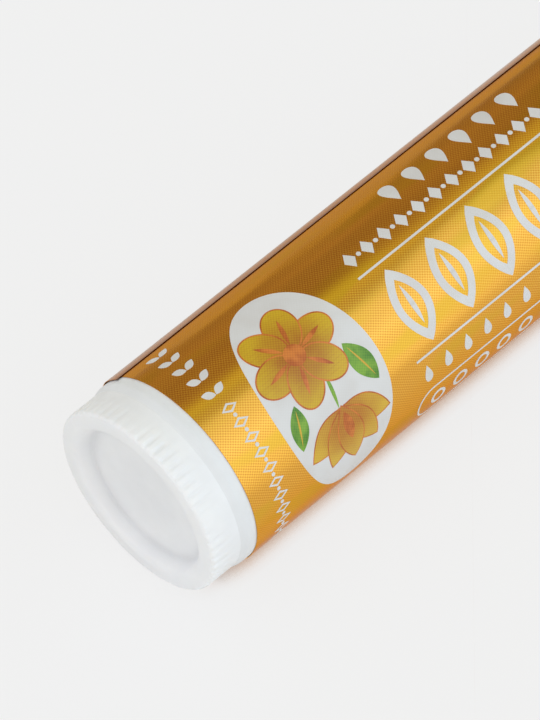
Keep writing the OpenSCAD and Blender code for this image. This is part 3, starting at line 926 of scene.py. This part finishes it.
# White: the window, the rules, the frame and the rows of marks. A mark's first numbers are its height from
# the rim and its place round from the top; each row ends with its count and its step, up and round.
window_up, window_by = 13.7, -5.7
sprig_up, sprig_by, sprig_step = 22.9, -5.0, 4.05
frame_up, frame_by = 22.4, -13.55
ring_up = 6.75
white_marks = [
    ("upper_rule", [bar(20.9, 47.0, -1.29, -1.11)], 1, (0, 0)),
    ("lower_rule", [bar(20.9, 47.0, -8.91, -8.73)], 1, (0, 0)),
    ("tall_leaves", [
        leaf(sprig_up, sprig_by, 6.3, 3.0), leaf(sprig_up, sprig_by, 4.3, 1.75),
    ], 6, (sprig_step, 0)),
    ("leaf_ribs", [leaf(sprig_up, sprig_by, 3.3, 0.42)], 6, (sprig_step, 0)),
    ("diamonds", [oval(21.6, 0.36, 0.52, 0.74, steps=4)], 15, (1.72, 0)),
    ("between_diamonds", [oval(22.46, 0.36, 0.19, 0.19, steps=16)], 14, (1.72, 0)),
    ("bold_drops", [drop(28.2, 2.9, 2.3, 1.7, 180)], 6, (2.4, 0)),
    ("drops_below", [drop(21.6, -10.3, 1.5, 1.0)], 13, (2.0, 0)),
    ("frame", [
        bar(20.3, 47.2, -15.2, -11.94, 1.6, 12), bar(20.46, 47.04, -15.04, -12.1, 1.44, 12),
    ], 1, (0, 0)),
    ("rings_in_frame", [
        oval(frame_up, frame_by, 0.72, 0.78, steps=32), oval(frame_up, frame_by, 0.46, 0.52, steps=32),
    ], 11, (2.25, 0)),
    ("base_bold", [leaf(6.26, 5.0, 1.1, 0.62, 60), leaf(7.24, 5.0, 1.1, 0.62, 120)], 5, (0, -1.5)),
    ("base_light", [
        oval(ring_up, -2.6, 0.72, 0.4, steps=4), oval(ring_up, -2.6, 0.46, 0.22, steps=4),
    ], 11, (0, -1.3)),
    ("base_dots", [oval(ring_up, -3.25, 0.16, 0.16, steps=16)], 10, (0, -1.3)),
]
window = oval(window_up, window_by, 4.95, 8.9, steps=120)
white_print = [ink_row("window", white_ink, [window], lift=0.010)]
white_print += [ink_row(name, white_ink, loops, count, step) for name, loops, count, step in white_marks]
put_on(join_pieces("white_print", white_print, 40), "barrel", None, "label_ink", "wrap_label")

# Amber, orange and green: a six-petalled blossom, a bud below it and leaves in the window. Each petal
# has an orange rim under its face and lies a little over the one before.
rim_lift = 0.0185
face_lift = 0.020
petal_rise = 0.003
petal_out = 2.2
vein_out = 1.9
blossom_up, blossom_by = 13.2, -2.6
petals = []
for petal in range(6):
    turn = math.radians(60 * petal + 12)
    tilt = math.degrees(turn)
    up, by = blossom_up + petal_out * math.cos(turn), blossom_by + petal_out * math.sin(turn)
    rim, face = oval(up, by, 1.90, 1.42, tilt), oval(up, by, 1.78, 1.30, tilt)
    petals.append(ink_row("petal_rim", orange_ink, [rim], lift=rim_lift + petal_rise * petal))
    petals.append(ink_row("petal", amber_ink, [face], lift=face_lift + petal_rise * petal))
    up, by = blossom_up + vein_out * math.cos(turn), blossom_by + vein_out * math.sin(turn)
    petals.append(ink_row("petal_vein", orange_ink, [leaf(up, by, 2.2, 0.36, tilt + 90)], lift=0.038))
petals.append(ink_row("blossom_heart", orange_ink, [oval(blossom_up, blossom_by, 0.85, 0.85)], lift=0.040))
bud_up, bud_by = 13.9, -8.1
bud_out = 1.9
for petal, tilt in enumerate((-62, 62, -31, 31, 0)):
    turn = math.radians(tilt - 90)
    up, by = bud_up + bud_out * math.cos(turn), bud_by + bud_out * math.sin(turn)
    rim, face = leaf(up, by, 4.95, 2.45, tilt), leaf(up, by, 4.7, 2.25, tilt)
    petals.append(ink_row("bud_rim", orange_ink, [rim], lift=rim_lift + petal_rise * petal))
    petals.append(ink_row("bud_petal", bud_ink, [face], lift=face_lift + petal_rise * petal))
petals.append(ink_row("bud_heart", orange_ink, [leaf(bud_up, bud_by - 1.2, 2.4, 0.9)], lift=0.035))
put_on(join_pieces("blossom_print", petals, 40), "barrel", None, "label_ink", "wrap_label")

leaves = []
for up, by, length, width, tilt in (
    (17.1, -5.9, 3.9, 1.8, 16), (10.2, -7.0, 3.4, 1.5, -18), (13.9, -6.2, 3.0, 0.3, -8),
):
    leaves.append(ink_row("leaf_print", green_ink, [leaf(up, by, length, width, tilt)], lift=0.015))
    # The narrow one is a stalk, with no vein
    if width > 1:
        vein = leaf(up, by, length * 0.8, 0.14, tilt)
        leaves.append(ink_row("leaf_vein", bud_ink, [vein], lift=0.019))
put_on(join_pieces("leaf_print", leaves, 40), "barrel", None, "label_ink", "wrap_label")


# Cap: a white polypropylene pull-off cap, moulded, with a rounded closed end and a slightly drafted
# bore. It grips the two rings on the neck.
cap_low = 49.15
stick_end = 68.0
cap_bore = 7.16
cap_roof = 66.6
cap_white = moulded_white("moulded_white_polypropylene_cap", "EDEDEA", 0.34, 0.000005)
cap_outline = rounded_line([
    (stick_end, 0, 0),
    (stick_end - 0.04, 0.9, 0.3),
    (stick_end, 1.1, 0.05),
    (stick_end, stick_r, 0.9),
    (cap_low, stick_r, 0.2),
    (cap_low, cap_bore, 0.2),
    (57.65, cap_bore, 0),
    (cap_roof, 7.05, 0.6),
    (cap_roof, 0, 0),
])
cap = make_piece("cap_moulding", *round_the_axis(held(cap_outline), 240))
put_on(cap, "cap", cap_white, "cap_plastic", "cap")


# Balm: pale yellow wax, cast in the barrel through its mouth, so its top is rounded and very slightly
# sunk where it cooled. The four guide ribs leave grooves in its side.
balm_low = 7.6
balm_top = 60.0
balm_r = 6.15
cup_wall = 0.95
cup_top = 13.1
slot_depth = 0.55
slot_half = 0.62
slot_slope = 0.24
slot_top = 55.2
slot_fade = 0.6
# Cast wax: soft and slightly see-through, a dull sheen; pits and grain, drawn coarser than real so that
# they show, break the highlight
wax, wax_tree, wax_skin = new_finish("cast_wax_balm")
wax_place = add_node(wax_tree, "ShaderNodeTexCoord").outputs["Object"]
wax_clouds = add_node(
    wax_tree, "ShaderNodeTexNoise", {"Vector": wax_place, "Scale": 260, "Detail": 3, "Roughness": 0.5}
)
wax_shade = add_node(
    wax_tree, "ShaderNodeMapRange", [wax_clouds, 0.3, 0.7], interpolation_type="SMOOTHSTEP"
)
wax_tint = add_node(
    wax_tree, "ShaderNodeMix", {0: wax_shade, 6: paint("F2E2AE"), 7: paint("F5E8BC")}, data_type="RGBA"
)
wax_pits = add_node(wax_tree, "ShaderNodeTexVoronoi", {"Vector": wax_place, "Scale": 1500})
wax_grain = add_node(wax_tree, "ShaderNodeTexNoise", {"Vector": wax_place, "Scale": 2500, "Detail": 5})
wax_bump = add_node(
    wax_tree, "ShaderNodeBump",
    {"Height": wax_pits.outputs["Distance"], "Distance": 0.00002, "Strength": 0.4},
)
wax_bump = add_node(
    wax_tree, "ShaderNodeBump",
    {"Height": wax_grain, "Distance": 0.00002, "Strength": 0.35, "Normal": wax_bump},
)
feed(wax_tree, wax_skin, {
    "Base Color": wax_tint.outputs[2], "Roughness": 0.46, "IOR": 1.44, "Normal": wax_bump,
    "Subsurface Weight": 0.5, "Subsurface Radius": (1.0, 0.8, 0.45), "Subsurface Scale": 0.0025,
})


def grooved(height, radius, turn):
    """The balm's radius, cut by the four guide grooves up to where the ribs end."""
    off = abs((turn + math.pi / 4) % (math.pi / 2) - math.pi / 4) * balm_r
    in_slot = min(max((slot_half - off) / slot_slope, 0), 1)
    fade = min(max((slot_top - height) / slot_fade, 0), 1)
    return min(radius, balm_r - slot_depth * in_slot * fade) if radius > 5 else radius


balm_outline = rounded_line([
    (balm_low, 0, 0),
    (balm_low, balm_r - cup_wall, 0.1),
    (cup_top, balm_r - cup_wall, 0),
    (cup_top, balm_r, 0.05),
    (balm_top, balm_r, 1.6),
    (balm_top - 0.05, 3.0, 2.0),
    (balm_top - 0.12, 0, 0),
], steps=10)
balm = make_piece("balm_stick", *round_the_axis(held(balm_outline, longest=1.0), 240, grooved), sharp=40)
put_on(balm, "carriage", wax, "wax", "balm")


# Carriage: a cup of natural polypropylene that carries the balm on the screw. It is hidden in the
# barrel at every pose, so its solid stays and only gets its finish: milky, unpigmented, matt.
natural = moulded_white("moulded_natural_polypropylene", "E4E0D4", 0.45, 0.000006)
carriage_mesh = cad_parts["carriage"].data
carriage_mesh.materials.clear()
carriage_mesh.materials.append(natural)
